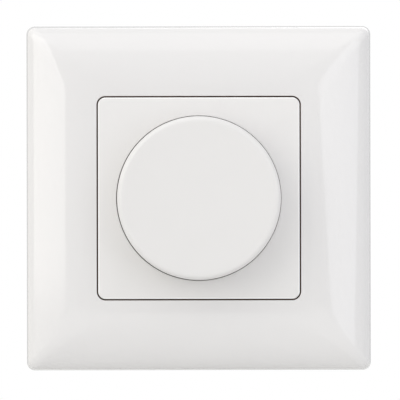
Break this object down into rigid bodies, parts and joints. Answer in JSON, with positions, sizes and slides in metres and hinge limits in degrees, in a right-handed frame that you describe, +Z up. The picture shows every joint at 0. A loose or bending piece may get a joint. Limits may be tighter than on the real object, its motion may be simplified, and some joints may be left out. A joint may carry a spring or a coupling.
{
  "type": "rotary dimmer switch",
  "caption": "Square flush-mounted rotary dimmer: domed glossy cover frame, flat centre plate, large push-and-turn knob, steel support plate and a boxed control unit behind.",
  "frame": {"origin": "centre of the box-screw pattern, on the wall plane", "axes": "+X to the right as seen from the room, +Y into the wall, +Z up; the knob faces -Y"},
  "size_m": [0.085, 0.0429, 0.085],
  "materials": {
    "frame_gloss": "high-gloss white",
    "plate_satin": "satin white",
    "knob_satin": "satin white",
    "zinc_steel": "bright zinc plated",
    "front_moulding": "moulded, light grey",
    "rear_moulding": "moulded, dark grey",
    "terminal_moulding": "moulded, black",
    "nickel_brass": "nickel plated",
    "bare_brass": "machined",
    "spindle_steel": "turned",
    "spring_steel": "drawn wire",
    "tinned_pins": "tinned",
    "wafer_laminate": "brown laminate",
    "black_moulding": "moulded, black",
    "switch_moulding": "moulded, charcoal",
    "plunger_moulding": "moulded, natural",
    "board_laminate": "green solder mask",
    "ferrite": "sintered ferrite",
    "enamelled_copper": "enamelled wire",
    "film_yellow": "moulded box",
    "can_sleeve": "dark sleeve",
    "varistor_coat": "epoxy dipped",
    "bare_aluminium": "rolled"
  },
  "bodies": {
    "base": {"support_plate": "zinc_steel", "front_housing": "front_moulding", "plate_screws": "zinc_steel", "pot_bush": "nickel_brass", "pot_case": "zinc_steel", "pot_wafer": "wafer_laminate", "pot_pins": "tinned_pins", "switch_body": "switch_moulding", "return_spring": "spring_steel", "switch_pins": "tinned_pins", "control_board": "board_laminate", "controller_chip": "black_moulding", "rear_housing": "rear_moulding", "terminal_bodies": "terminal_moulding", "terminal_cages": "bare_brass", "terminal_screws": "zinc_steel", "power_board": "board_laminate", "choke_core": "ferrite", "choke_winding": "enamelled_copper", "film_capacitor": "film_yellow", "electrolytic_capacitors": "can_sleeve", "varistor": "varistor_coat", "heat_spreader": "bare_aluminium", "power_transistors": "black_moulding", "board_header": "black_moulding", "header_pins": "tinned_pins", "cover_frame": "frame_gloss", "centre_plate": "plate_satin", "lock_washer": "spring_steel", "bush_nut": "nickel_brass"},
    "carriage": {"switch_plunger": "plunger_moulding"},
    "dial": {"knob": "knob_satin", "knob_spring_clip": "spring_steel", "pot_shaft": "spindle_steel"},
    "wiper": {"wiper_disc": "plunger_moulding"}
  },
  "joints": [
    {"name": "knob_push", "type": "slide", "parent": "base", "child": "carriage", "axis": [0, 1, 0], "range_m": [0, 0.0015], "stiffness_N_per_m": 2000, "springref_m": -0.001, "deforming": ["return_spring"]},
    {"name": "knob_turn", "type": "hinge", "parent": "carriage", "child": "dial", "pos_m": [0, 0, 0], "axis": [0, 1, 0], "range_deg": [-140, 140]},
    {"name": "wiper_turn", "type": "hinge", "parent": "base", "child": "wiper", "pos_m": [0, 0, 0], "axis": [0, 1, 0], "range_deg": [-140, 140]}
  ],
  "couplings": [
    {"joint": "wiper_turn", "follows": "knob_turn", "ratio": 1}
  ]
}
